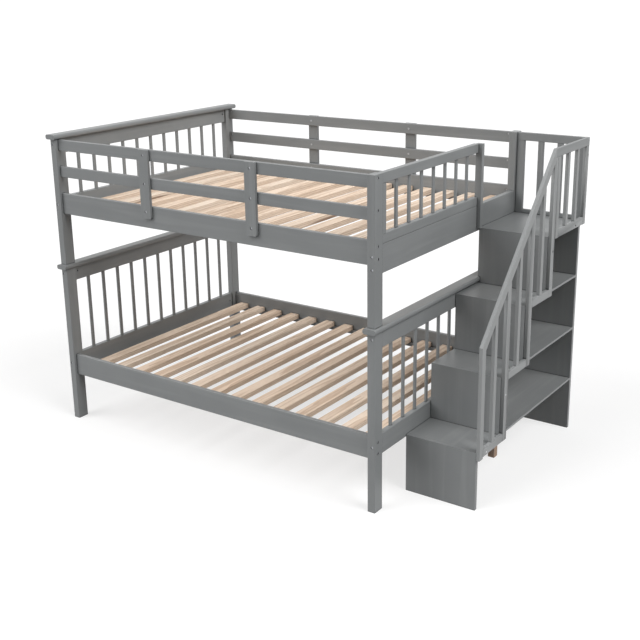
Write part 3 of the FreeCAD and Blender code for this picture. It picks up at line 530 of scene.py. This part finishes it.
def join_all(name, meshes, finish):
    """Joins meshes into one piece of steel that rides with the bed."""
    bpy.ops.object.select_all(action="DESELECT")
    for mesh in meshes:
        copy = bpy.data.objects.new(name, mesh)
        bpy.context.collection.objects.link(copy)
        copy.select_set(True)
        bpy.context.view_layer.objects.active = copy
    bpy.ops.object.join()
    piece = bpy.context.object
    piece.name = name
    piece.data.materials.clear()
    piece.data.materials.append(finish)
    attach(piece, "root")
    print(name, len(meshes), "pieces of steel,", len(piece.data.polygons), "faces")
    return piece


def drive(name, spots, turn):
    """Copies the screw to the spots, turned the same way."""
    meshes = []
    for spot in spots:
        mesh = screw.data.copy()
        mesh.transform(Matrix.Translation(spot) @ turn)
        meshes.append(mesh)
    join_all(name, meshes, new_zinc)


for bunk in ("lower_slats", "upper_slats"):
    low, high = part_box(bunk)
    step = (high.x - low.x - SLAT_WIDTH) / (SLAT_COUNT - 1)
    ends = (low.y + SCREW_FROM_END, high.y - SCREW_FROM_END)
    spots = [Vector((low.x + SLAT_WIDTH / 2 + step * i, y, high.z + CROWN * 1.5))
             for i in range(SLAT_COUNT) for y in ends]
    drive(bunk.replace("slats", "slat_screws"), spots, UPRIGHT)

# %% [markdown]
# ## Screws in the stair railing
#
# On the outside of the stairs the screws must not stand proud, because
# people brush past them. The two low ones sit in countersinks, flush with
# the face, and shine. The three high ones are driven deeper, down a straight
# bore, and only a dark hole shows. The boards arrive as finished models and
# are never cut themselves. A copy is welded, bored and painted, and it
# stands for the first one.

# %% Bore and screw the stair railing
BORE_RADIUS = 0.0054
FLUSH = 0.0003
DEEP = 0.0045
FACING_OUT = Matrix.Rotation(math.radians(90), 4, "Y")
OVERSHOOT = 0.001
WELD_REACH = 0.00001
RAILING_SCREWS = {
    "stair_railing_stiles": ((-0.186, 0.488, FLUSH), (0.286, 1.069, DEEP), (0.677, 1.481, DEEP)),
    "stair_railing_bottom_rails": ((-0.372, 0.272, FLUSH), (0.563, 1.141, DEEP)),
}


def welded_copy(name, label):
    """A copy of one of the frame's nodes, its loose triangles merged, left in edit mode."""
    copy = bpy.data.objects.new(label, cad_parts[name].data.copy())
    bpy.context.collection.objects.link(copy)
    take_up(copy)
    pick_faces(copy, lambda face: True)
    bpy.ops.mesh.remove_doubles(threshold=WELD_REACH)
    return copy


def bore_cutter(spot, depth):
    """A drill that cuts a straight bore to a depth, with a cone below it for the screw's head."""
    bpy.ops.object.select_all(action="DESELECT")
    bpy.ops.mesh.primitive_cylinder_add(vertices=24, radius=BORE_RADIUS, depth=depth + 2 * OVERSHOOT,
                                        location=(0, 0, OVERSHOOT - depth / 2))
    drill = bpy.context.object
    bpy.ops.object.transform_apply(location=True, rotation=False, scale=False)
    pick_faces(drill, lambda face: face.normal.z < -0.9)
    bpy.ops.mesh.extrude_region_move(TRANSFORM_OT_translate={"value": (0, 0, -SCREW_HEIGHT)})
    narrowing = SHANK_RADIUS / BORE_RADIUS
    bpy.ops.transform.resize(value=(narrowing, narrowing, 1))
    bpy.ops.object.mode_set(mode="OBJECT")
    drill.data.transform(Matrix.Translation(spot) @ FACING_OUT)
    return drill


for name, places in RAILING_SCREWS.items():
    bored = welded_copy(name, name + "_bored")
    bpy.ops.object.mode_set(mode="OBJECT")
    face_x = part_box(name)[1].x
    for y, z, depth in places:
        cut_away(bored, bore_cutter((face_x, y, z), depth))
    bpy.ops.object.shade_smooth_by_angle(angle=SMOOTH_BELOW)
    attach(bored, "root")
    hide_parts(name)
    spots = [Vector((face_x - depth, y, z)) for y, z, depth in places]
    drive(name.replace("stair_railing", "railing") + "_screws", spots, FACING_OUT)
    print(name, "bored in", len(places), "places,", len(bored.data.polygons), "faces")
bpy.data.objects.remove(screw)

# %% [markdown]
# ## Bolts
#
# The frame comes apart for moving, so it is held by bolts whose heads lie
# in recesses in the posts and in the guard boards. Each head is a drum with
# a rounded rim and a six-sided socket for the wrench, and it is narrower
# than its recess, so a dark ring shows round it. The drum starts as a
# cylinder: its rim is bevelled, its underside is inset and extruded into
# the shank, and the socket is cut with a six-sided bar.

# %% Turn one bolt
HEAD_RADIUS = 0.0052
HEAD_HEIGHT = 0.0038
SHANK_OF_BOLT = 0.0030
SOCKET_RADIUS = 0.0028
SOCKET_DEPTH = 0.0026
RIM_BEVEL = 0.0007

bpy.ops.object.select_all(action="DESELECT")
bpy.ops.mesh.primitive_cylinder_add(vertices=24, radius=HEAD_RADIUS, depth=HEAD_HEIGHT,
                                    location=(0, 0, -HEAD_HEIGHT / 2))
bolt = bpy.context.object
bolt.name = "bolt_pattern"
bpy.ops.object.transform_apply(location=True, rotation=False, scale=False)
pick_faces(bolt, lambda face: face.normal.z > 0.9)
bpy.ops.mesh.bevel(offset=RIM_BEVEL, segments=2, affect="EDGES")
bpy.ops.object.mode_set(mode="OBJECT")
pick_faces(bolt, lambda face: face.normal.z < -0.9)
bpy.ops.mesh.inset(thickness=HEAD_RADIUS - SHANK_OF_BOLT)
bpy.ops.mesh.extrude_region_move(TRANSFORM_OT_translate={"value": (0, 0, -HEAD_HEIGHT)})
bpy.ops.object.mode_set(mode="OBJECT")
bpy.ops.object.select_all(action="DESELECT")
bpy.ops.mesh.primitive_cylinder_add(vertices=6, radius=SOCKET_RADIUS, depth=2 * SOCKET_DEPTH)
cut_away(bolt, bpy.context.object)
bpy.ops.object.shade_smooth_by_angle(angle=SMOOTH_BELOW)
print("The bolt has", len(bolt.data.polygons), "faces")

# %% [markdown]
# ## Set the bolts
#
# The plain bolts of the model say where the real ones go. A copy of them is
# welded and taken apart, and each part gives three things: the line that it
# lies on, the end that its head is at, and its length. The turned bolt is
# laid there with its shank drawn out to that length, a little deeper in its
# recess, and the plain ones are replaced.

# %% Set the bolts
HEAD_SINK = 0.0012


def lie_of(part):
    """The middle of a plain bolt's head, the way the head looks and the bolt's length."""
    spots = [vertex.co for vertex in part.data.vertices]
    low = Vector([min(spot[i] for spot in spots) for i in range(3)])
    high = Vector([max(spot[i] for spot in spots) for i in range(3)])
    way = max(range(3), key=lambda i: high[i] - low[i])
    middle = (low + high) / 2
    widest = max(spots, key=lambda spot: sum((spot[i] - middle[i]) ** 2 for i in range(3) if i != way))
    outwards = Vector((0, 0, 0))
    outwards[way] = 1 if widest[way] > middle[way] else -1
    length = high[way] - low[way]
    return middle + outwards * (length / 2), outwards, length


welded_copy("bolts", "plain_bolts")
bpy.ops.mesh.separate(type="LOOSE")
bpy.ops.object.mode_set(mode="OBJECT")
meshes = []
for part in list(bpy.context.selected_objects):
    head, outwards, length = lie_of(part)
    mesh = bolt.data.copy()
    for vertex in mesh.vertices:
        if vertex.co.z < -1.5 * HEAD_HEIGHT:
            vertex.co.z = HEAD_SINK - length
    turn = Vector((0, 0, 1)).rotation_difference(outwards).to_matrix().to_4x4()
    mesh.transform(Matrix.Translation(head - outwards * HEAD_SINK) @ turn)
    meshes.append(mesh)
    bpy.data.objects.remove(part)
bpy.data.objects.remove(bolt)
turned_bolts = join_all("turned_bolts", meshes, zinc)
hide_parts("bolts")

# %% [markdown]
# ## Floor and backdrop
#
# The bed stands on one white sweep that has no edge in the picture. To the
# camera the sweep is a mid grey with a faint glow on top, which adds up to
# white where the lamps reach it, and the glow keeps the bed's soft shadow
# light. To the light that bounces about, the sweep is a darker grey with no
# glow, so that the undersides of the boards stay dark.

# %% Lay the floor
SWEEP_SIZE = 300.0
SEEN_TONES = (0.41, 0.43)
SEEN_GLOW = 0.62
BOUNCING_TONE = 0.22
bpy.ops.object.select_all(action="DESELECT")
bpy.ops.mesh.primitive_plane_add(size=SWEEP_SIZE, location=(0, 0, 0))
floor = bpy.context.object
floor.name = "studio_floor"

sweep = Finish("white_sweep")
tone = sweep.blend(sweep.noise(sweep.place(), 0.3), grey(SEEN_TONES[0]), grey(SEEN_TONES[1]))
sweep_colour = sweep.blend(sweep.seen(), grey(BOUNCING_TONE), tone)
sweep_glow = sweep.blend(sweep.seen(), grey(0.0), grey(SEEN_GLOW))
white_sweep = sweep.paint_with(Base_Color=sweep_colour, Emission_Color=sweep_glow,
                               Emission_Strength=1.0, Roughness=0.9, Specular_IOR_Level=0.0)
floor.data.materials.append(white_sweep)
print("The floor is", SWEEP_SIZE, "metres square")

# %% [markdown]
# ## Light
#
# Two large soft lamps stand crossed. The key shines from beyond the foot of
# the bed, on its foot end and on the open side of the stairs. The fill
# shines from beyond the near head corner, on the long side and on the
# fronts of the steps. A little more light comes from the whole room. Each
# lamp reaches only part of the stairs' insides, so they stay darker than
# the fronts.

# %% Hang the lamps
def soft_sun(name, from_direction, level, spread):
    """A lamp so far away that it lights all of the bed alike, with a soft edge to its shadows."""
    data = bpy.data.lights.new(name, "SUN")
    data.energy = level
    data.angle = math.radians(spread)
    lamp = bpy.data.objects.new(name, data)
    lamp.rotation_euler = Vector(from_direction).to_track_quat("Z", "Y").to_euler()
    bpy.context.collection.objects.link(lamp)
    return lamp


key = soft_sun("key_lamp", (0.72, 0.0, 0.69), 2.20, 40.0)
fill = soft_sun("fill_lamp", (-0.45, -0.68, 0.58), 1.90, 50.0)

ROOM_LEVEL = 0.30
room = bpy.data.worlds.new("studio_room")
room.use_nodes = True
bpy.context.scene.world = room
air = Wiring(room.node_tree)
strength = air.seen() * (1.0 - ROOM_LEVEL) + ROOM_LEVEL
glow = air.node("ShaderNodeBackground", None, {"Color": grey(1.0), "Strength": strength})
air.node("ShaderNodeOutputWorld", None, {"Surface": glow})
bpy.context.scene.view_settings.view_transform = "Standard"
print("Lamps:", key.data.energy, fill.data.energy)
